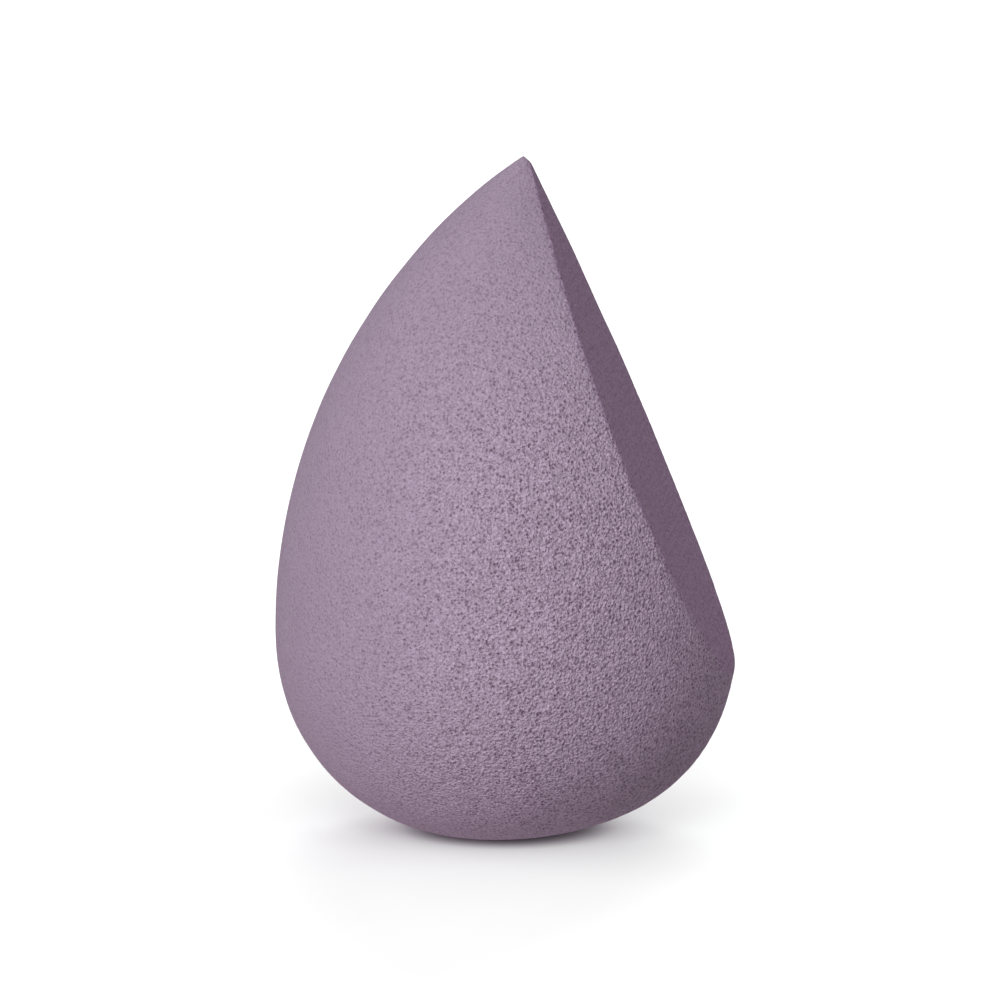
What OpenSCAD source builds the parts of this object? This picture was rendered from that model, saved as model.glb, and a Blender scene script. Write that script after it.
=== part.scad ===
// A makeup sponge: one solid piece of soft open-cell foam.
// The blank is a teardrop turned about its own axis. A blade slices one side off,
// from just under the tip to just under the widest part, which leaves the flat face
// for powder and the edge for corners. It stands on its round end, on a small flat
// patch, and leans a little towards the side that was sliced off.
// Millimetres, +Z up, the sliced side towards +X. The origin lies on the patch that
// it stands on, straight below the centre of the widest part.

/* [Blank] */
// Height from the patch that it stands on to the tip
sponge_h = 60; // [52:1:70]
// Width across the widest part
sponge_w = 41.2; // [36:0.2:46]
// Height of the widest part above the patch that it stands on
belly_h = 18.8; // [15:0.2:23]
// Fullness of the round end, where 2 is an ellipse and more is squarer
end_fullness = 2.22; // [2:0.02:2.6]

/* [Slanted cut] */
// How far below the tip the cut face starts, along the blank's axis
cut_start_drop = 1; // [0.5:0.1:4]
// How far below the widest part the cut face ends, along the blank's axis
cut_end_drop = 3.4; // [2:0.1:8]
// How far the middle of the cut face is hollowed, as the foam gave under the blade
cut_hollow = 0.55; // [0.2:0.05:1.5]

/* [Stance] */
// How far the blank leans towards its cut side, in degrees
lean_angle = 1.5; // [0:0.1:3]
// How deep the round end is pressed flat where it stands
foot_depth = 0.5; // [0.3:0.1:1.2]

/* [Hidden] */

// Number of straight steps that the nose's arc and the round end's curve are drawn in
nose_steps = 32;
end_steps = 24;
// Facets round the blank, and round the wide, shallow curve of the cut
turned_facets = 180;
cut_facets = 1440;
// How far a cutting body runs past what it cuts
overrun = 2;

// The blank's own frame has its origin at the centre of the widest part
blank_r = sponge_w / 2;
end_h = belly_h + foot_depth;
nose_h = (sponge_h - belly_h) / cos(lean_angle);
// The nose is an arc that is upright at the widest part and meets the axis at the tip
nose_arc_r = (pow(nose_h, 2) + pow(blank_r, 2)) / (2 * blank_r);
nose_arc_x = blank_r - nose_arc_r;
nose_arc_angle = asin(nose_h / nose_arc_r);

// Radius of the blank at a height above its widest part
function nose_r(height) = nose_arc_x + sqrt(pow(nose_arc_r, 2) - pow(height, 2));
// Radius of the blank at a depth below its widest part
function end_r(depth) = blank_r * pow(1 - pow(depth / end_h, end_fullness), 1 / end_fullness);

// The cut face's upper and lower ends, as [radius, height] in the blank's frame
cut_top = [nose_r(nose_h - cut_start_drop), nose_h - cut_start_drop];
cut_end = [end_r(cut_end_drop), -cut_end_drop];
cut_middle = (cut_top + cut_end) / 2;
cut_length = norm(cut_end - cut_top);
cut_tilt = atan2(cut_end[0] - cut_top[0], cut_top[1] - cut_end[1]);
// The hollow is a shallow arc over that length
cut_arc_r = (pow(cut_length / 2, 2) + pow(cut_hollow, 2)) / (2 * cut_hollow);

function end_point(angle) =
    [blank_r * pow(sin(angle), 2 / end_fullness), -end_h * pow(cos(angle), 2 / end_fullness)];
function nose_point(angle) =
    [nose_arc_x + nose_arc_r * cos(angle), nose_arc_r * sin(angle)];

// Half outline of the blank, from the round end up to the tip, both on the axis
blank_outline = concat(
    [for (i = [0 : end_steps - 1]) end_point(90 * i / end_steps)],
    [for (i = [0 : nose_steps - 1]) nose_point(nose_arc_angle * i / nose_steps)],
    [[0, nose_h]]
);

// The turned teardrop, before it is cut
module blank() {
    rotate_extrude($fn = turned_facets) polygon(blank_outline);
}

// What the blade takes off: its inner side is the hollowed cut face
module sliced_off() {
    translate([cut_middle[0], 0, cut_middle[1]])
        rotate([0, -cut_tilt, 0])
            translate([cut_arc_r - cut_hollow, 0, 0])
                rotate([90, 0, 0])
                    cylinder(r = cut_arc_r, h = sponge_w + 2 * overrun, center = true, $fn = cut_facets);
}

// What is pressed flat at the round end, below the plane that the sponge stands on
module pressed_flat() {
    translate([-blank_r, -blank_r, -foot_depth - overrun])
        cube([sponge_w, sponge_w, foot_depth + overrun]);
}

// The whole sponge
module foam_body() {
    color("#9C88A0")
        difference() {
            translate([0, 0, belly_h])
                rotate([0, lean_angle, 0])
                    difference() {
                        blank();
                        sliced_off();
                    }
            pressed_flat();
        }
}

foam_body();
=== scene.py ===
"""A teardrop makeup sponge of soft open-cell foam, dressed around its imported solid.

The sponge is one casting: a turned teardrop with one side sliced off at a slant. It is turned
from its half outline, cut by the blade and pressed flat where it stands. Then its mesh gets the
skin's faint swells and dimples, and its material draws the fine cells of cosmetic foam. All
lengths are metres, +Z is up and the sliced side faces +X.
"""

import logging
import math
from dataclasses import dataclass, field
from enum import Enum

import bpy
import numpy as np
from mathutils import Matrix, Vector


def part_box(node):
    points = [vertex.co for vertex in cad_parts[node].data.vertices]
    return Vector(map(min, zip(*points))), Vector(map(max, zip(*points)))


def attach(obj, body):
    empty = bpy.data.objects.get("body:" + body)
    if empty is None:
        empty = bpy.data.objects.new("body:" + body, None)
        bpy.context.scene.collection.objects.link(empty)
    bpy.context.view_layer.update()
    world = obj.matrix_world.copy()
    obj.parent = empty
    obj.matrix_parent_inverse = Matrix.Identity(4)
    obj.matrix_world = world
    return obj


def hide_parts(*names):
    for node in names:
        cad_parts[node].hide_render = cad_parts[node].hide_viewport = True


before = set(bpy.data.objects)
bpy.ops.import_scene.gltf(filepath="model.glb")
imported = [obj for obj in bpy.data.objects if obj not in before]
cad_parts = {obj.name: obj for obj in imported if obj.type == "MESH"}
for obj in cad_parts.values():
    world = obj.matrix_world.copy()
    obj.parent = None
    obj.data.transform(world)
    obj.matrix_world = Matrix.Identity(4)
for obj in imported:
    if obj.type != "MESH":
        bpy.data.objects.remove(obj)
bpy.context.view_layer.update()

MM = 0.001
EASED = {"interpolation_type": "SMOOTHSTEP"}

# A Mix node has a set of sockets for each kind of value. These are the ones for colours.
COLOURS = {"data_type": "RGBA"}
SHARE, FIRST, SECOND = 0, 6, 7
MIXED = 2

log = logging.getLogger("sponge")


class Layer(Enum):
    """What the finished mesh carries, for its material and for its baked pictures."""

    REST = "rest_place"
    CUT = "cut_face"
    BAKE = "OFBake"


class Fade(Enum):
    """How a soft edit fades out around the point that is moved."""

    SMOOTH = "SMOOTH"
    SHARP = "SHARP"


class LampKind(Enum):
    """The kinds of lamp in the studio."""

    SOFT = "AREA"
    SUN = "SUN"


def linear(hex_colour: str) -> tuple[float, float, float, float]:
    """Turn an sRGB hex colour into the linear colour that a shader takes.

    Args:
        hex_colour: Colour such as "#A895AC".

    Returns:
        Linear red, green and blue, and an alpha of 1.
    """
    # The numbers are the sRGB standard's own.
    channels = [int(hex_colour[i : i + 2], 16) / 255 for i in (1, 3, 5)]
    bent = [c / 12.92 if c <= 0.04045 else ((c + 0.055) / 1.055) ** 2.4 for c in channels]
    return (*bent, 1.0)


def add_node(
    tree: bpy.types.NodeTree,
    kind: str,
    settings: dict[str, object] | None = None,
    inputs: dict[str | int, object] | None = None,
) -> bpy.types.Node:
    """Add one node with its settings, its values and its links.

    Args:
        tree: Node tree that the node joins.
        kind: The node's type, such as "ShaderNodeMath".
        settings: Attributes to set on the node.
        inputs: Input name or index to a value, to the output that feeds it, or to the node
            whose first output feeds it.

    Returns:
        The new node.
    """
    node = tree.nodes.new(kind)
    for name, value in (settings or {}).items():
        setattr(node, name, value)
    for key, value in (inputs or {}).items():
        if isinstance(value, bpy.types.Node):
            value = value.outputs[0]
        if isinstance(value, bpy.types.NodeSocket):
            tree.links.new(value, node.inputs[key])
        else:
            node.inputs[key].default_value = value
    return node


def emptied(owner: bpy.types.Material | bpy.types.World) -> bpy.types.NodeTree:
    """Give the node tree of a new material or world, with nothing in it."""
    owner.use_nodes = True
    owner.node_tree.nodes.clear()
    return owner.node_tree


def start_shaping(name: str) -> tuple[bpy.types.NodeTree, bpy.types.Node, bpy.types.NodeSocket]:
    """Start a node tree that moves the points of a mesh.

    Args:
        name: What the tree does to the mesh, in a maker's words.

    Returns:
        The tree, the node that gives the mesh, and the output that gives a point's place.
    """
    tree = bpy.data.node_groups.new(name, "GeometryNodeTree")
    for way in ("INPUT", "OUTPUT"):
        tree.interface.new_socket("Geometry", in_out=way, socket_type="NodeSocketGeometry")
    mesh = add_node(tree, "NodeGroupInput")
    return tree, mesh, add_node(tree, "GeometryNodeInputPosition").outputs["Position"]


def select_only(piece: bpy.types.Object) -> None:
    """Make a piece the only selected object, and the active one."""
    bpy.ops.object.select_all(action="DESELECT")
    piece.select_set(True)
    bpy.context.view_layer.objects.active = piece


def apply_modifier(piece: bpy.types.Object, kind: str, name: str, **settings: object) -> None:
    """Add a modifier to a piece and apply it.

    Args:
        piece: Object that is shaped.
        kind: The modifier's type, such as "REMESH".
        name: What the step is, in a maker's words.
        **settings: Attributes to set on the modifier.
    """
    select_only(piece)
    modifier = piece.modifiers.new(name, kind)
    for setting, value in settings.items():
        setattr(modifier, setting, value)
    bpy.ops.object.modifier_apply(modifier=modifier.name)


def soft_reach(fade: Fade, reach: float) -> dict[str, object]:
    """Give the settings with which an edit draws the skin around it along.

    Args:
        fade: How the edit fades out.
        reach: How far it is felt.

    Returns:
        Settings for a transform operator.
    """
    return {
        "use_proportional_edit": True,
        "proportional_edit_falloff": fade.value,
        "proportional_size": reach,
    }


@dataclass
class Blank:
    """The turned teardrop before it is cut, with its widest part at height zero.

    Its round end is a superellipse, and its nose is an arc that meets the axis at the tip. Soft
    edits then pull the round end and the nose a little out of round, as the foam is.
    """

    height: float
    width: float
    belly_height: float = 18.8 * MM
    end_fullness: float = 2.266
    lean: float = math.radians(1.5)
    foot_depth: float = 0.5 * MM
    end_tilt: float = math.radians(2.96)
    end_pull: Vector = field(default_factory=lambda: Vector((-0.22, 0, 0)) * MM)
    end_reach: float = 20.2 * MM
    nose_width: float = 0.77
    nose_reach: float = 40 * MM
    tip_spare: float = 0.1 * MM
    tip_pull: Vector = field(default_factory=lambda: Vector((0.35, 0, 0.2)) * MM)
    tip_reach: float = 4.5 * MM
    end_steps: int = 40
    nose_steps: int = 60
    turn_steps: int = 180
    first_plane: float = 0.5 * MM
    weld: float = 0.002 * MM

    @property
    def radius(self) -> float:
        """Radius at the widest part."""
        return self.width / 2

    @property
    def end_height(self) -> float:
        """Depth of the round end below the widest part, before it is pressed flat."""
        return self.belly_height + self.foot_depth

    @property
    def nose_height(self) -> float:
        """Length of the nose along the leaning axis."""
        return (self.height - self.belly_height) / math.cos(self.lean)

    @property
    def nose_arc(self) -> float:
        """Radius of the arc that the nose is drawn with."""
        return (self.nose_height**2 + self.radius**2) / (2 * self.radius)

    def nose_radius(self, height: float) -> float:
        """Radius of the nose at a height above the widest part."""
        return self.radius - self.nose_arc + math.sqrt(self.nose_arc**2 - height**2)

    def end_radius(self, depth: float) -> float:
        """Radius of the round end at a depth below the widest part."""
        power = self.end_fullness
        return self.radius * (1 - (depth / self.end_height) ** power) ** (1 / power)

    def outline(self) -> list[Vector]:
        """Give the half outline from the bottom up to the tip, both on the axis."""
        power = 2 / self.end_fullness
        points = []
        for step in range(self.end_steps):
            angle = math.pi / 2 * step / self.end_steps
            out = self.radius * math.sin(angle) ** power
            points.append(Vector((out, 0, -self.end_height * math.cos(angle) ** power)))
        reach = math.asin(self.nose_height / self.nose_arc)
        for step in range(self.nose_steps):
            height = self.nose_arc * math.sin(reach * step / self.nose_steps)
            points.append(Vector((self.nose_radius(height), 0, height)))
        points.append(Vector((0, 0, self.nose_height)))
        return points

    def lengths(self) -> tuple[np.ndarray, np.ndarray]:
        """Measure along the half outline.

        Returns:
            For each of its points, the angle from straight down, seen from the widest part's
            centre, and the length from the bottom.
        """
        outline = np.array(self.outline())[:, ::2]
        steps = np.diff(outline, axis=0, prepend=outline[:1])
        return np.arctan2(outline[:, 0], -outline[:, 1]), np.cumsum(np.hypot(*steps.T))

    def turn(self) -> bpy.types.Object:
        """Extrude the half outline point by point and turn it into a closed skin.

        Returns:
            The turned blank, upright, with the widest part's centre at the origin.
        """
        points = self.outline()
        bpy.ops.object.select_all(action="DESELECT")
        bpy.ops.mesh.primitive_plane_add(size=self.first_plane, location=points[0])
        piece = bpy.context.object
        bpy.ops.object.transform_apply(location=True, rotation=True, scale=True)
        bpy.ops.object.mode_set(mode="EDIT")
        bpy.ops.mesh.select_mode(type="VERT")
        bpy.ops.mesh.select_all(action="SELECT")
        bpy.ops.mesh.merge(type="CENTER")
        for start, end in zip(points, points[1:]):
            bpy.ops.mesh.extrude_region_move(TRANSFORM_OT_translate={"value": end - start})
        bpy.ops.object.mode_set(mode="OBJECT")
        # The spin operator gives its faces in another order each run. The modifier doesn't.
        apply_modifier(
            piece, "SCREW", "turned skin", angle=2 * math.pi, steps=self.turn_steps,
            render_steps=self.turn_steps, use_merge_vertices=True, merge_threshold=self.weld,
        )
        bpy.ops.object.mode_set(mode="EDIT")
        bpy.ops.mesh.select_all(action="SELECT")
        bpy.ops.mesh.normals_make_consistent(inside=False)
        bpy.ops.object.mode_set(mode="OBJECT")
        self.shape_end(piece)
        self.shape_nose(piece)
        return piece

    def grasp(self, piece: bpy.types.Object, height: float) -> None:
        """Select the one point of a piece's pole at a height, ready to be pulled in Edit mode.

        Args:
            piece: The turned blank.
            height: Height of the pole.
        """
        bpy.ops.object.mode_set(mode="EDIT")
        bpy.ops.mesh.select_all(action="DESELECT")
        bpy.ops.object.mode_set(mode="OBJECT")
        pole = Vector((0, 0, height))
        min(piece.data.vertices, key=lambda vertex: (vertex.co - pole).length).select = True
        bpy.ops.object.mode_set(mode="EDIT")

    def shape_end(self, piece: bpy.types.Object) -> None:
        """Let the soft round end sink a little on the side away from the slice.

        Args:
            piece: The turned blank, in Object mode.
        """
        self.grasp(piece, -self.end_height)
        soft = soft_reach(Fade.SMOOTH, self.end_reach)
        # With no window, the operator turns the other way.
        bpy.ops.transform.rotate(
            value=self.end_tilt,
            orient_axis="Y",
            center_override=(0, 0, -self.end_height),
            **soft,
        )
        bpy.ops.transform.translate(value=self.end_pull, **soft)
        bpy.ops.object.mode_set(mode="OBJECT")

    def shape_nose(self, piece: bpy.types.Object) -> None:
        """Narrow the nose from front to back, pull its tip towards the slice, and blunt it.

        Args:
            piece: The turned blank, in Object mode.
        """
        self.grasp(piece, self.nose_height)
        bpy.ops.transform.resize(
            value=(1, self.nose_width, 1),
            center_override=(0, 0, self.nose_height),
            **soft_reach(Fade.SHARP, self.nose_reach),
        )
        bpy.ops.transform.translate(
            value=self.tip_pull, **soft_reach(Fade.SMOOTH, self.tip_reach)
        )
        bpy.ops.mesh.select_all(action="SELECT")
        bpy.ops.mesh.bisect(
            plane_co=(0, 0, self.nose_height + self.tip_spare),
            plane_no=(0, 0, 1),
            use_fill=True,
            clear_outer=True,
        )
        bpy.ops.object.mode_set(mode="OBJECT")


@dataclass
class SlantedCut:
    """The face that the blade leaves: nearly flat, hollowed a little along its length.

    The heights and depths say where its front rim goes from sharp to rounded, on the standing
    sponge.
    """

    blank: Blank
    start_drop: float = 1.0 * MM
    end_drop: float = 3.4 * MM
    hollow: float = 0.55 * MM
    facets: int = 1440
    blade_width: float = 50 * MM
    rim_blend: float = 0.35 * MM
    round_radius: float = 0.85 * MM
    sharp_above: float = 27 * MM
    round_below: float = 20 * MM
    sharp_behind: float = -6 * MM
    round_before: float = -12 * MM
    blur_per_pass: float = 0.4

    @property
    def top(self) -> Vector:
        """Upper end of the face, in the blank's frame."""
        height = self.blank.nose_height - self.start_drop
        return Vector((self.blank.nose_radius(height), 0, height))

    @property
    def end(self) -> Vector:
        """Lower end of the face, in the blank's frame."""
        return Vector((self.blank.end_radius(self.end_drop), 0, -self.end_drop))

    @property
    def arc(self) -> float:
        """Radius of the shallow arc that hollows the face."""
        half = (self.end - self.top).length / 2
        return (half**2 + self.hollow**2) / (2 * self.hollow)

    @property
    def outward(self) -> Vector:
        """Direction that the face looks in, in the blank's frame."""
        along = (self.end - self.top).normalized()
        return Vector((-along.z, 0, along.x))

    @property
    def centre(self) -> Vector:
        """Centre of the shallow arc, far out on the open side, in the blank's frame."""
        return (self.top + self.end) / 2 + self.outward * (self.arc - self.hollow)

    def slice(self, piece: bpy.types.Object) -> None:
        """Take off all that lies past the blade's sweep.

        Args:
            piece: The turned blank, which loses its sliced side.
        """
        bpy.ops.object.select_all(action="DESELECT")
        bpy.ops.mesh.primitive_cylinder_add(
            vertices=self.facets,
            radius=self.arc,
            depth=self.blade_width,
            location=self.centre,
            rotation=(math.pi / 2, 0, 0),
        )
        blade = bpy.context.object
        bpy.ops.object.transform_apply(location=True, rotation=True, scale=True)
        apply_modifier(
            piece, "BOOLEAN", "slice", object=blade, operation="DIFFERENCE", solver="EXACT"
        )
        select_only(blade)
        bpy.ops.object.delete()

    def soften(self, piece: bpy.types.Object, step: float) -> None:
        """Round the lower part of the front rim, where the foam gave under the blade.

        Each pass of the blur adds the same amount to the square of the rounding's radius.

        Args:
            piece: The standing piece, evenly meshed.
            step: How far apart its points are.
        """
        tree, mesh, place = start_shaping("soft rim")
        parts = add_node(tree, "ShaderNodeSeparateXYZ", {}, {0: place}).outputs
        low, front = [
            add_node(
                tree, "ShaderNodeMapRange", EASED,
                {"Value": parts[axis], "From Min": sharp, "From Max": rounded},
            )
            for axis, sharp, rounded in (
                ("Z", self.sharp_above, self.round_below),
                ("Y", self.sharp_behind, self.round_before),
            )
        ]
        weight = add_node(tree, "ShaderNodeMath", {"operation": "MULTIPLY"}, {0: low, 1: front})
        passes = round((self.round_radius / step) ** 2 / self.blur_per_pass)
        eased = add_node(
            tree, "GeometryNodeBlurAttribute", {"data_type": "FLOAT_VECTOR"},
            {"Value": place, "Iterations": passes, "Weight": weight},
        )
        moved = add_node(
            tree, "GeometryNodeSetPosition", {}, {"Geometry": mesh, "Position": eased}
        )
        add_node(tree, "NodeGroupOutput", {}, {0: moved})
        apply_modifier(piece, "NODES", "soft rim", node_group=tree)

    def share(self, points: np.ndarray) -> np.ndarray:
        """Tell which points lie on the cut face.

        Args:
            points: Places in the blank's frame, one row each.

        Returns:
            1 on the face, 0 on the moulded skin, and a short blend at the rim.
        """
        centre = np.array(self.centre)
        away = np.hypot(points[:, 0] - centre[0], points[:, 2] - centre[2]) - self.arc
        return np.clip(1 - away / self.rim_blend, 0, 1)


@dataclass
class SkinRelief:
    """The casting's gently uneven skin, as relief in the mesh.

    The skin is closest where it lay against the mould, near the tip and on the side away from
    the cut. A pitch is how far apart the waves are, and closed_dimple is the share of the dimples
    that is left on closed skin. The cells are a quarter of a millimetre wide, too fine for a
    mesh, so the foam's material draws them.
    """

    dimple_pitch: float = 0.7 * MM
    dimple: float = 0.03 * MM
    swell_pitch: float = 9.0 * MM
    swell: float = 0.12 * MM
    noise_detail: float = 1.0
    closed_dimple: float = 0.3
    pressed: float = 0.5 * MM
    closed_side: float = -17 * MM
    open_side: float = 3.5 * MM
    closed_height: float = 58 * MM
    open_height: float = 32 * MM

    def openness(self, tree: bpy.types.NodeTree, place: bpy.types.NodeSocket) -> bpy.types.Node:
        """Say how open the skin is: least near the tip and on the side away from the cut.

        Args:
            tree: Node tree that the values are added to.
            place: Output that gives the place of a point on the undented skin.

        Returns:
            A node that gives 0 where the skin is closed, to 1 where it is open.
        """
        parts = add_node(tree, "ShaderNodeSeparateXYZ", {}, {0: place}).outputs
        across = add_node(
            tree, "ShaderNodeMapRange", EASED,
            {"Value": parts["X"], "From Min": self.closed_side, "From Max": self.open_side},
        )
        up = add_node(
            tree, "ShaderNodeMapRange", EASED,
            {"Value": parts["Z"], "From Min": self.closed_height, "From Max": self.open_height},
        )
        return add_node(tree, "ShaderNodeMath", {"operation": "MULTIPLY"}, {0: across, 1: up})

    def lift(self, tree: bpy.types.NodeTree, place: bpy.types.NodeSocket) -> bpy.types.Node:
        """Say how far each point of the skin stands proud, which is nothing where it is pressed.

        Args:
            tree: Node tree that the values are added to.
            place: Output that gives the place of a point on the undented skin.

        Returns:
            A node that gives the rise in metres.
        """
        waves = []
        for pitch, rise in ((self.dimple_pitch, self.dimple), (self.swell_pitch, self.swell)):
            wave = add_node(
                tree, "ShaderNodeTexNoise", {},
                {"Vector": place, "Scale": 1 / pitch, "Detail": self.noise_detail},
            )
            waves.append(
                add_node(
                    tree, "ShaderNodeMapRange", {}, {"Value": wave, "To Min": -rise, "To Max": rise}
                )
            )
        share = add_node(
            tree, "ShaderNodeMapRange", {},
            {"Value": self.openness(tree, place), "To Min": self.closed_dimple},
        )
        both = add_node(
            tree, "ShaderNodeMath", {"operation": "MULTIPLY_ADD"}, {0: waves[0], 1: share, 2: waves[1]}
        )
        height = add_node(tree, "ShaderNodeSeparateXYZ", {}, {0: place}).outputs["Z"]
        free = add_node(
            tree, "ShaderNodeMapRange", EASED, {"Value": height, "From Max": self.pressed}
        )
        return add_node(tree, "ShaderNodeMath", {"operation": "MULTIPLY"}, {0: both, 1: free})

    def build(self, piece: bpy.types.Object) -> None:
        """Push the relief into a piece's skin, and keep each point's place before that.

        Nothing is left below the plane that the piece stands on.

        Args:
            piece: Smooth, evenly meshed piece.
        """
        tree, mesh, place = start_shaping("uneven skin")
        normal = add_node(tree, "GeometryNodeInputNormal")
        offset = add_node(
            tree, "ShaderNodeVectorMath", {"operation": "SCALE"},
            {0: normal, "Scale": self.lift(tree, place)},
        )
        kept = add_node(
            tree, "GeometryNodeStoreNamedAttribute", {"data_type": "FLOAT_VECTOR", "domain": "POINT"},
            {"Geometry": mesh, "Name": Layer.REST.value, "Value": place},
        )
        moved = add_node(
            tree, "GeometryNodeSetPosition", {}, {"Geometry": kept, "Offset": offset}
        )
        parts = add_node(tree, "ShaderNodeSeparateXYZ", {}, {0: place}).outputs
        above = add_node(
            tree, "ShaderNodeMath", {"operation": "MAXIMUM"}, {0: parts["Z"], 1: 0.0}
        )
        level = add_node(
            tree, "ShaderNodeCombineXYZ", {}, {"X": parts["X"], "Y": parts["Y"], "Z": above}
        )
        pressed = add_node(
            tree, "GeometryNodeSetPosition", {}, {"Geometry": moved, "Position": level}
        )
        add_node(tree, "NodeGroupOutput", {}, {0: pressed})
        apply_modifier(piece, "NODES", "uneven skin", node_group=tree)


@dataclass(frozen=True)
class CosmeticFoam:
    """Soft polyurethane foam, cast with a fine skin.

    The cells are drawn in bump and in colour together. The bump gives each strut a lit and a
    shaded side, and the colour paints the shade deep in each open cell: painted shade, with the pit
    colour as its darkest. A pit's width is a share of the pitch. The closed skin's colour is a little
    darker, partly its own and partly painted shade, and the cut's colour is darker and redder, partly
    its own and partly painted shade. The tones and bumps of closed skin and of the cut are the share
    of the open skin's that shows there.
    """

    skin: str = "#B4A4B8"
    # Closed skin: a little darker, partly its own colour and partly painted shade, on the side away
    # from the cut and near the tip.
    closed: str = "#A393A7"
    # Cut face: darker and redder, partly the cut foam's own colour and partly painted shade on a face
    # turned from the lamp.
    cut: str = "#A28CA7"
    # Darkest colour of the painted shade in the open cells.
    pit: str = "#70566F"
    roughness: float = 0.9
    ior: float = 1.45
    strut_pitch: float = 0.25 * MM
    strut_height: float = 0.34 * MM
    strut_tone_pitch: float = 0.2 * MM
    strut_tone: float = 1.5
    pit_pitch: float = 0.3 * MM
    least_pit: float = 0.1
    widest_pit: float = 0.75
    pit_floor: float = 0.05
    pit_depth: float = 0.08 * MM
    painted_pit_shade: float = 0.92
    stray_pitch: float = 0.25 * MM
    stray: float = 0.1 * MM
    closed_tone: float = 0.32
    closed_bump: float = 0.55
    cut_tone: float = 1.2
    cut_bump: float = 0.5
    patch_pitch: float = 5.0 * MM
    patch: float = 0.03
    noise_detail: float = 1.0

    def pits(self, tree: bpy.types.NodeTree, place: bpy.types.NodeSocket) -> bpy.types.Node:
        """Draw the open cells: scattered round pits of different widths.

        Args:
            tree: Node tree that the pattern is added to.
            place: Output that gives the place of a point on the undented skin.

        Returns:
            A node that gives 0 where the skin is level, to 1 at the bottom of a pit.
        """
        drift = add_node(
            tree, "ShaderNodeTexNoise", {},
            {"Vector": place, "Scale": 1 / self.stray_pitch, "Detail": 0.0},
        ).outputs["Color"]
        strayed = add_node(
            tree, "ShaderNodeVectorMath", {"operation": "MULTIPLY_ADD"},
            {0: drift, 1: (self.stray,) * 3, 2: place},
        )
        cells = add_node(
            tree, "ShaderNodeTexVoronoi", {}, {"Vector": strayed, "Scale": 1 / self.pit_pitch}
        ).outputs
        chance = add_node(tree, "ShaderNodeSeparateXYZ", {}, {0: cells["Color"]})
        edge = add_node(
            tree, "ShaderNodeMapRange", {},
            {"Value": chance, "To Min": self.least_pit, "To Max": self.widest_pit},
        )
        reach = add_node(
            tree, "ShaderNodeMath", {"operation": "DIVIDE"}, {0: cells["Distance"], 1: edge}
        )
        return add_node(
            tree, "ShaderNodeMapRange", EASED,
            {"Value": reach, "From Min": 1.0, "From Max": self.pit_floor},
        )

    def tone(
        self, tree: bpy.types.NodeTree, place: bpy.types.NodeSocket, share: bpy.types.Node
    ) -> bpy.types.Node:
        """Draw how light the skin is: wide, faint patches, and a fine grain of struts.

        Args:
            tree: Node tree that the pattern is added to.
            place: Output that gives the place of a point on the undented skin.
            share: Node that gives how strongly the grain shows.

        Returns:
            A node that gives about 1, which the skin's colour is multiplied by.
        """
        wide, fine = [
            add_node(
                tree, "ShaderNodeTexNoise", {},
                {"Vector": place, "Scale": 1 / pitch, "Detail": self.noise_detail},
            )
            for pitch in (self.patch_pitch, self.strut_tone_pitch)
        ]
        patches = add_node(
            tree, "ShaderNodeMapRange", {},
            {"Value": wide, "To Min": 1 - self.patch, "To Max": 1 + self.patch},
        )
        half = self.strut_tone / 2
        grain = add_node(
            tree, "ShaderNodeMapRange", {}, {"Value": fine, "To Min": -half, "To Max": half}
        )
        return add_node(
            tree, "ShaderNodeMath", {"operation": "MULTIPLY_ADD"}, {0: grain, 1: share, 2: patches}
        )

    def shares(
        self, tree: bpy.types.NodeTree, openness: bpy.types.Node, cut: bpy.types.NodeSocket
    ) -> list[bpy.types.Node]:
        """Say how strongly the cells show.

        Args:
            tree: Node tree that the values are added to.
            openness: Node that gives how open the moulded skin is.
            cut: Output that gives 1 on the cut face and 0 on the moulded skin.

        Returns:
            A node for their colours, and a node for their bump.
        """
        shares = []
        for closed, on_cut in (
            (self.closed_tone, self.cut_tone), (self.closed_bump, self.cut_bump)
        ):
            moulded = add_node(
                tree, "ShaderNodeMapRange", {}, {"Value": openness, "To Min": closed}
            )
            shares.append(
                add_node(
                    tree, "ShaderNodeMapRange", {},
                    {"Value": cut, "To Min": moulded, "To Max": on_cut},
                )
            )
        return shares

    def height(
        self,
        tree: bpy.types.NodeTree,
        place: bpy.types.NodeSocket,
        pits: bpy.types.Node,
        share: bpy.types.Node,
    ) -> bpy.types.Node:
        """Say how high the struts stand, and how deep the pits go.

        Args:
            tree: Node tree that the pattern is added to.
            place: Output that gives the place of a point on the undented skin.
            pits: Node that draws the open cells.
            share: Node that gives how strongly the bump shows.

        Returns:
            A node that gives the height in metres.
        """
        grain = add_node(
            tree, "ShaderNodeTexNoise", {},
            {"Vector": place, "Scale": 1 / self.strut_pitch, "Detail": self.noise_detail},
        )
        struts = add_node(
            tree, "ShaderNodeMath", {"operation": "MULTIPLY"}, {0: grain, 1: self.strut_height}
        )
        both = add_node(
            tree, "ShaderNodeMath", {"operation": "MULTIPLY_ADD"},
            {0: pits, 1: -self.pit_depth, 2: struts},
        )
        return add_node(tree, "ShaderNodeMath", {"operation": "MULTIPLY"}, {0: both, 1: share})

    def material(self, relief: SkinRelief) -> bpy.types.Material:
        """Build the foam's material.

        Args:
            relief: The mesh's relief, which says where the skin is open.

        Returns:
            The finished material.
        """
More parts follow.
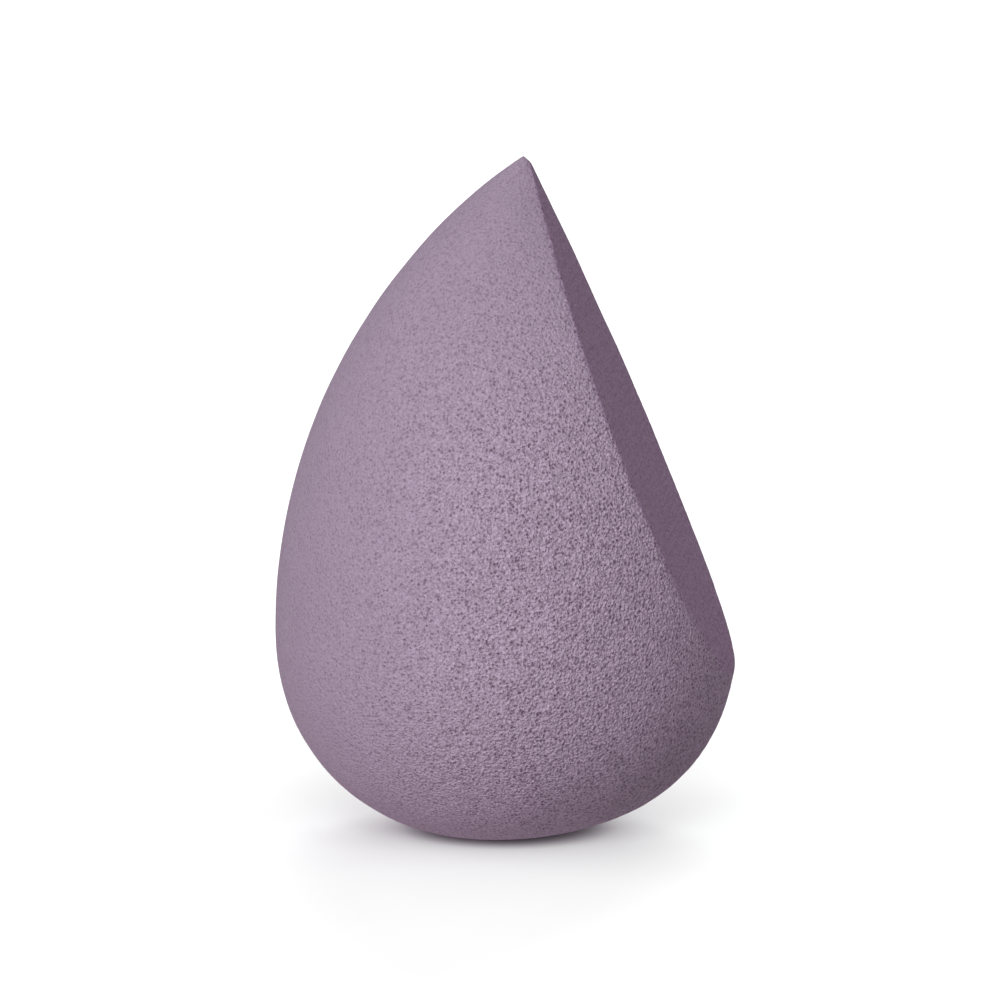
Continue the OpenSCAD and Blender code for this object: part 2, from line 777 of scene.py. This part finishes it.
        # Polyurethane foam, cast in a mould. Its struts scatter the light and its open cells
        # keep some of it, so the eye gets a dry, matt mauve without a highlight. The shade in each
        # cell, darker and redder, is painted shade in the colour. Where the skin lay close against the
        # mould it is smoother, and its colour is a little darker: partly its own, partly painted
        # shade. Where the
        # blade went through it the cells are too even to tell apart, and its colour is darker and
        # redder:
        # partly its own, partly painted shade. A strut is about 0.05 mm thick, half a pixel, so the
        # grain is drawn coarser, at 0.2 to 0.3 mm, which is the size of the cells that the eye can
        # still see.
        material = bpy.data.materials.new("cast_polyurethane_foam")
        tree = emptied(material)
        place = add_node(
            tree, "ShaderNodeAttribute", {"attribute_name": Layer.REST.value}
        ).outputs["Vector"]
        cut = add_node(
            tree, "ShaderNodeAttribute", {"attribute_name": Layer.CUT.value}
        ).outputs["Fac"]
        openness = relief.openness(tree, place)
        tone_share, bump_share = self.shares(tree, openness, cut)
        pits = self.pits(tree, place)
        # Closed skin is darkened towards the closed colour: partly its own colour, partly painted
        # shade.
        moulded = add_node(
            tree, "ShaderNodeMix", COLOURS,
            {SHARE: openness, FIRST: linear(self.closed), SECOND: linear(self.skin)},
        ).outputs[MIXED]
        # The cut face takes the cut colour: partly its own colour, partly painted shade.
        skin = add_node(
            tree, "ShaderNodeMix", COLOURS,
            {SHARE: cut, FIRST: moulded, SECOND: linear(self.cut)},
        ).outputs[MIXED]
        toned = add_node(
            tree, "ShaderNodeVectorMath", {"operation": "SCALE"},
            {0: skin, "Scale": self.tone(tree, place, tone_share)},
        )
        # Painted shade: each open cell is darkened towards the pit colour, most at its bottom.
        dark = add_node(
            tree, "ShaderNodeMath", {"operation": "MULTIPLY"}, {0: tone_share, 1: self.painted_pit_shade}
        )
        shade = add_node(tree, "ShaderNodeMath", {"operation": "MULTIPLY"}, {0: dark, 1: pits})
        colour = add_node(
            tree, "ShaderNodeMix", COLOURS,
            {SHARE: shade, FIRST: toned, SECOND: linear(self.pit)},
        ).outputs[MIXED]
        height = self.height(tree, place, pits, bump_share)
        bump = add_node(
            tree, "ShaderNodeBump", {}, {"Strength": 1.0, "Distance": 1.0, "Height": height}
        )
        shader = add_node(
            tree, "ShaderNodeBsdfPrincipled", {},
            {"Base Color": colour, "Roughness": self.roughness, "IOR": self.ior, "Normal": bump},
        )
        add_node(tree, "ShaderNodeOutputMaterial", {}, {"Surface": shader})
        return material


@dataclass
class MakeupSponge:
    """The sponge: its casting, its cut, its foot and its skin of cells.

    The gap is what the baked pictures have between their parts and at their edge.
    """

    blank: Blank
    cut: SlantedCut
    relief: SkinRelief = field(default_factory=SkinRelief)
    finish: CosmeticFoam = CosmeticFoam()
    mesh_step: float = 0.12 * MM
    quick_step: float = 0.3 * MM
    smoothing: float = 0.5
    bake_gap: float = 0.5 * MM
    node: str = "foam_body"

    def stand(self, piece: bpy.types.Object) -> None:
        """Lean the cut blank, stand it on the floor and press its foot flat.

        Args:
            piece: The cut blank in its own frame.
        """
        select_only(piece)
        piece.rotation_euler = (0, self.blank.lean, 0)
        piece.location = (0, 0, self.blank.belly_height)
        bpy.ops.object.transform_apply(location=True, rotation=True, scale=True)
        bpy.ops.object.mode_set(mode="EDIT")
        bpy.ops.mesh.select_all(action="SELECT")
        bpy.ops.mesh.bisect(
            plane_co=(0, 0, 0), plane_no=(0, 0, 1), use_fill=True, clear_inner=True
        )
        bpy.ops.object.mode_set(mode="OBJECT")

    def soften(self, piece: bpy.types.Object) -> None:
        """Mesh the standing piece evenly, and take the hardness off its rim.

        Args:
            piece: The cut, standing piece.
        """
        step = self.mesh_step
        apply_modifier(
            piece, "REMESH", "even skin", mode="VOXEL", voxel_size=step, use_smooth_shade=True
        )
        apply_modifier(piece, "SMOOTH", "soft edges", factor=self.smoothing, iterations=1)
        self.cut.soften(piece, step)

    def upright(self, mesh: bpy.types.Mesh) -> np.ndarray:
        """Give the places of a standing mesh's points in the blank's own frame.

        Args:
            mesh: Mesh of the standing piece.

        Returns:
            One row for each point.
        """
        points = np.empty(len(mesh.vertices) * 3, np.float32)
        mesh.vertices.foreach_get("co", points)
        points = points.reshape(-1, 3) - np.array((0, 0, self.blank.belly_height))
        sine, cosine = math.sin(self.blank.lean), math.cos(self.blank.lean)
        across = points[:, 0] * cosine - points[:, 2] * sine
        along = points[:, 0] * sine + points[:, 2] * cosine
        return np.stack((across, points[:, 1], along), axis=1)

    def unroll(
        self, points: np.ndarray, corners: np.ndarray, starts: np.ndarray, sizes: np.ndarray
    ) -> np.ndarray:
        """Unroll the turned skin, with its seam towards the cut.

        Args:
            points: Places in the blank's frame, one row each.
            corners: The point of each corner of each face.
            starts: The first corner of each face.
            sizes: How many corners each face has.

        Returns:
            How far each corner lies round the axis and along the half outline.
        """
        turn = np.arctan2(-points[:, 1], -points[:, 0])[corners]
        width = np.maximum.reduceat(turn, starts) - np.minimum.reduceat(turn, starts)
        across_seam = np.repeat(width > math.pi, sizes)
        turn = np.where(across_seam & (turn < 0), math.pi, turn) + math.pi
        swing = np.arctan2(np.hypot(points[:, 0], points[:, 1]), -points[:, 2])
        along = np.interp(swing, *self.blank.lengths())[corners]
        return np.stack((turn * self.blank.radius, along), axis=1)

    def lay_out(self, piece: bpy.types.Object) -> None:
        """Mark the cut face, and lay the whole skin out flat for its baked pictures.

        The cut face lies beside the unrolled skin.

        Args:
            piece: The standing piece, evenly meshed.
        """
        mesh = piece.data
        points = self.upright(mesh)
        share = self.cut.share(points)
        layer = mesh.attributes.new(Layer.CUT.value, "FLOAT", "POINT")
        layer.data.foreach_set("value", share.astype(np.float32))
        corners = np.empty(len(mesh.loops), np.int32)
        mesh.loops.foreach_get("vertex_index", corners)
        sizes = np.empty(len(mesh.polygons), np.int32)
        mesh.polygons.foreach_get("loop_total", sizes)
        starts = np.cumsum(sizes) - sizes
        unrolled = self.unroll(points, corners, starts, sizes)
        along = np.array((self.cut.top - self.cut.end).normalized())
        flat = np.stack((points[:, 1], (points - np.array(self.cut.end)) @ along), axis=1)[corners]
        skin_length = self.blank.lengths()[1][-1]
        flat += np.array((self.blank.radius, skin_length + self.bake_gap))
        on_cut = np.repeat(np.minimum.reduceat(share[corners], starts) > 0, sizes)
        spread = np.where(on_cut[:, None], flat, unrolled) + self.bake_gap
        sheet = spread.max() + self.bake_gap
        layout = mesh.uv_layers.new(name=Layer.BAKE.value)
        layout.data.foreach_set("uv", (spread / sheet).astype(np.float32).ravel())

    def build(self) -> bpy.types.Object:
        """Model the whole sponge and dress it.

        Returns:
            The finished piece, riding on the CAD body.
        """
        piece = self.blank.turn()
        piece.name = "sponge_foam"
        self.cut.slice(piece)
        self.stand(piece)
        self.soften(piece)
        self.lay_out(piece)
        self.relief.build(piece)
        piece.data.materials.clear()
        piece.data.materials.append(self.finish.material(self.relief))
        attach(piece, "root")
        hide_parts(self.node)
        return piece


def direction(azimuth: float, elevation: float) -> Vector:
    """Give the direction towards a place seen at an azimuth and elevation.

    Args:
        azimuth: Degrees from the front, -Y, towards +X.
        elevation: Degrees above the floor.

    Returns:
        A vector of length one.
    """
    turn, rise = math.radians(azimuth), math.radians(elevation)
    level = math.cos(rise)
    return Vector((math.sin(turn) * level, -math.cos(turn) * level, math.sin(rise)))


@dataclass(frozen=True)
class WhiteCard:
    """The table top's finish: white to the camera, and greyer in what it throws back.

    What it throws back is no reflection but a glow: painted bounce light, brighter on the lamp's side
    of the sponge and dimmer in its shadow by the share called lean, which is painted shade. Close
    round the foot only a share of its white is seen, at least the painted shadow's share: a painted
    contact shadow, put there because lamps as soft as these leave no dark middle to the shadow there.
    """

    seen: tuple[float, float, float] = (0.89, 0.93, 0.905)
    painted_shadow: float = 0.26
    painted_shadow_edge: float = 5.2 * MM
    painted_shadow_end: float = 10.2 * MM
    bounce: float = 0.465
    lean: float = 0.52
    side_reach: float = 40 * MM
    near: float = 25 * MM
    far: float = 60 * MM

    def material(self, tint: tuple[float, float, float, float]) -> bpy.types.Material:
        """Build the card's material.

        Args:
            tint: Colour of the painted bounce light that it glows with.

        Returns:
            The finished material.
        """
        # Uncoated white card, rolled smooth: an even white without a highlight, on which a
        # shadow keeps its soft edge.
        material = bpy.data.materials.new("uncoated_white_card")
        tree = emptied(material)
        place = add_node(tree, "ShaderNodeTexCoord").outputs["Object"]
        side = add_node(
            tree, "ShaderNodeMapRange", EASED,
            {
                "Value": add_node(tree, "ShaderNodeSeparateXYZ", {}, {0: place}).outputs["X"],
                "From Min": -self.side_reach, "From Max": self.side_reach,
                "To Min": self.lean, "To Max": -self.lean,
            },
        )
        distance = add_node(
            tree, "ShaderNodeVectorMath", {"operation": "LENGTH"}, {0: place}
        ).outputs["Value"]
        # Painted contact shadow: the card's white is darkened close round the foot.
        painted_shadow = add_node(
            tree, "ShaderNodeMapRange", EASED,
            {
                "Value": distance, "From Min": self.painted_shadow_edge, "From Max": self.painted_shadow_end,
                "To Min": self.painted_shadow, "To Max": 1.0,
            },
        )
        colour = add_node(
            tree, "ShaderNodeVectorMath", {"operation": "SCALE"}, {0: self.seen, "Scale": painted_shadow}
        )
        seen = add_node(tree, "ShaderNodeBsdfDiffuse", {}, {"Color": colour})
        # To every ray but the camera's the card is a glow: painted bounce light, with painted shade on
        # the side in the sponge's shadow, fading out with distance.
        close = add_node(
            tree, "ShaderNodeMapRange", EASED,
            {"Value": distance, "From Min": self.far, "From Max": self.near},
        )
        lean = add_node(tree, "ShaderNodeMath", {"operation": "MULTIPLY"}, {0: side, 1: close})
        level = add_node(
            tree, "ShaderNodeMath", {"operation": "MULTIPLY_ADD"},
            {0: lean, 1: self.bounce, 2: self.bounce},
        )
        glow = add_node(tree, "ShaderNodeEmission", {}, {"Color": tint, "Strength": level})
        to_camera = add_node(tree, "ShaderNodeLightPath").outputs["Is Camera Ray"]
        mixed = add_node(tree, "ShaderNodeMixShader", {}, {0: to_camera, 1: glow, 2: seen})
        add_node(tree, "ShaderNodeOutputMaterial", {}, {"Surface": mixed})
        return material


@dataclass
class Studio:
    """A pale table top in plain soft light, and the camera.

    Angles are in degrees, and azimuths go from the front, -Y, towards +X. The table's shares are
    each lamp's azimuth and its share of the table's light.
    """

    target: Vector = field(default_factory=lambda: Vector((-0.64, 0, 29.54)) * MM)
    view_azimuth: float = 6.3
    view_elevation: float = 8.0
    view_distance: float = 456 * MM
    view_width: float = 88.74 * MM
    sensor_width: float = 36.0
    nearest: float = 5 * MM
    farthest: float = 80.0
    card: WhiteCard = WhiteCard()
    floor_size: float = 8.0
    ambient: float = 0.34
    ambient_tint: tuple[float, float, float, float] = (1.0, 0.86, 0.94, 1.0)
    white: tuple[float, float, float, float] = (1.0, 1.0, 1.0, 1.0)
    key_share: float = 0.665
    key_azimuth: float = -23
    key_elevation: float = 29
    key_distance: float = 1500 * MM
    key_size: float = 750 * MM
    table_light: float = 1.08
    table_shares: tuple[tuple[float, float], ...] = (
        (0, 0.24), (45, 0.15), (90, 0.08), (135, 0.04), (180, 0.28), (225, 0.04), (270, 0.09),
        (315, 0.08),
    )
    table_lamp_elevation: float = 25
    table_lamp_angle: float = 35

    def camera(self) -> bpy.types.Object:
        """Set up the camera at the photograph's viewing angle.

        Returns:
            The camera.
        """
        back = direction(self.view_azimuth, self.view_elevation)
        bpy.ops.object.camera_add(location=self.target + back * self.view_distance)
        camera = bpy.context.object
        camera.rotation_euler = (-back).to_track_quat("-Z", "Y").to_euler()
        camera.data.sensor_width = self.sensor_width
        camera.data.lens = self.sensor_width * self.view_distance / self.view_width
        camera.data.clip_start = self.nearest
        camera.data.clip_end = self.farthest
        bpy.context.scene.camera = camera
        return camera

    def floor(self) -> bpy.types.Object:
        """Lay the table top.

        Returns:
            The table top.
        """
        bpy.ops.object.select_all(action="DESELECT")
        bpy.ops.mesh.primitive_plane_add(size=self.floor_size)
        floor = bpy.context.object
        floor.name = "table_top"
        floor.data.materials.append(self.card.material(self.ambient_tint))
        return floor

    def world(self) -> None:
        """Light the scene evenly, with a white background."""
        world = bpy.data.worlds.new("studio")
        bpy.context.scene.world = world
        tree = emptied(world)
        path = add_node(tree, "ShaderNodeLightPath").outputs
        seen = path["Is Camera Ray"]
        for ray in ("Is Glossy Ray", "Is Transmission Ray"):
            seen = add_node(
                tree, "ShaderNodeMath", {"operation": "MAXIMUM"}, {0: seen, 1: path[ray]}
            )
        strength = add_node(
            tree, "ShaderNodeMapRange", {}, {"Value": seen, "To Min": self.ambient, "To Max": 1.0}
        )
        colour = add_node(
            tree, "ShaderNodeMix", COLOURS,
            {SHARE: seen, FIRST: self.ambient_tint, SECOND: self.white},
        ).outputs[MIXED]
        glow = add_node(
            tree, "ShaderNodeBackground", {}, {"Color": colour, "Strength": strength}
        )
        add_node(tree, "ShaderNodeOutputWorld", {}, {"Surface": glow})

    def lamp(
        self, kind: LampKind, name: str, towards: Vector, receiver: bpy.types.Object
    ) -> bpy.types.Object:
        """Hang one lamp that lights one thing only.

        Args:
            kind: The kind of lamp.
            name: The lamp's name.
            towards: Direction from the sponge to the lamp.
            receiver: What the lamp lights.

        Returns:
            The lamp, turned to the sponge.
        """
        location = self.target + towards * self.key_distance
        bpy.ops.object.light_add(type=kind.value, location=location)
        lamp = bpy.context.object
        lamp.name = name
        lamp.rotation_euler = towards.to_track_quat("Z", "Y").to_euler()
        lit = bpy.data.collections.new(f"lit by {lamp.name}")
        lit.objects.link(receiver)
        lamp.light_linking.receiver_collection = lit
        return lamp

    def lamps(self, sponge: bpy.types.Object, floor: bpy.types.Object) -> None:
        """Hang the soft lamp that lights the sponge, and those that light the table top.

        Args:
            sponge: What the soft lamp lights.
            floor: What the table lamps light, with the sponge's shadow.
        """
        # The energies follow from how bright a white face looks: key_share where it is turned to
        # the soft lamp, and table_light where it lies level under all the table lamps.
        key = self.lamp(
            LampKind.SOFT, "soft_lamp", direction(self.key_azimuth, self.key_elevation), sponge
        )
        key.data.shape = "DISK"
        key.data.size = self.key_size
        key.data.energy = self.key_share * (math.pi * self.key_distance) ** 2
        level = self.table_light / math.sin(math.radians(self.table_lamp_elevation))
        for azimuth, share in self.table_shares:
            towards = direction(azimuth, self.table_lamp_elevation)
            lamp = self.lamp(LampKind.SUN, "table_lamp", towards, floor)
            lamp.data.angle = math.radians(self.table_lamp_angle)
            lamp.data.energy = level * share * math.pi

    def set_up(self, sponge: bpy.types.Object) -> None:
        """Build the whole studio around the sponge.

        Args:
            sponge: The finished piece.
        """
        bpy.context.scene.view_settings.view_transform = "Standard"
        self.world()
        self.lamps(sponge, self.floor())
        self.camera()


def main() -> None:
    """Build the sponge to the CAD part's box, and the studio, and log how many points the sponge has.
    """
    logging.basicConfig(level=logging.INFO, format="%(name)s: %(message)s")
    low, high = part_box("foam_body")
    blank = Blank(height=high[2] - low[2], width=high[1] - low[1])
    sponge = MakeupSponge(blank, SlantedCut(blank)).build()
    log.info("%s: %d points", sponge.name, len(sponge.data.vertices))
    Studio().set_up(sponge)
    log.info("studio: the table top, the lamps and the camera")


if __name__ == "__main__":
    main()
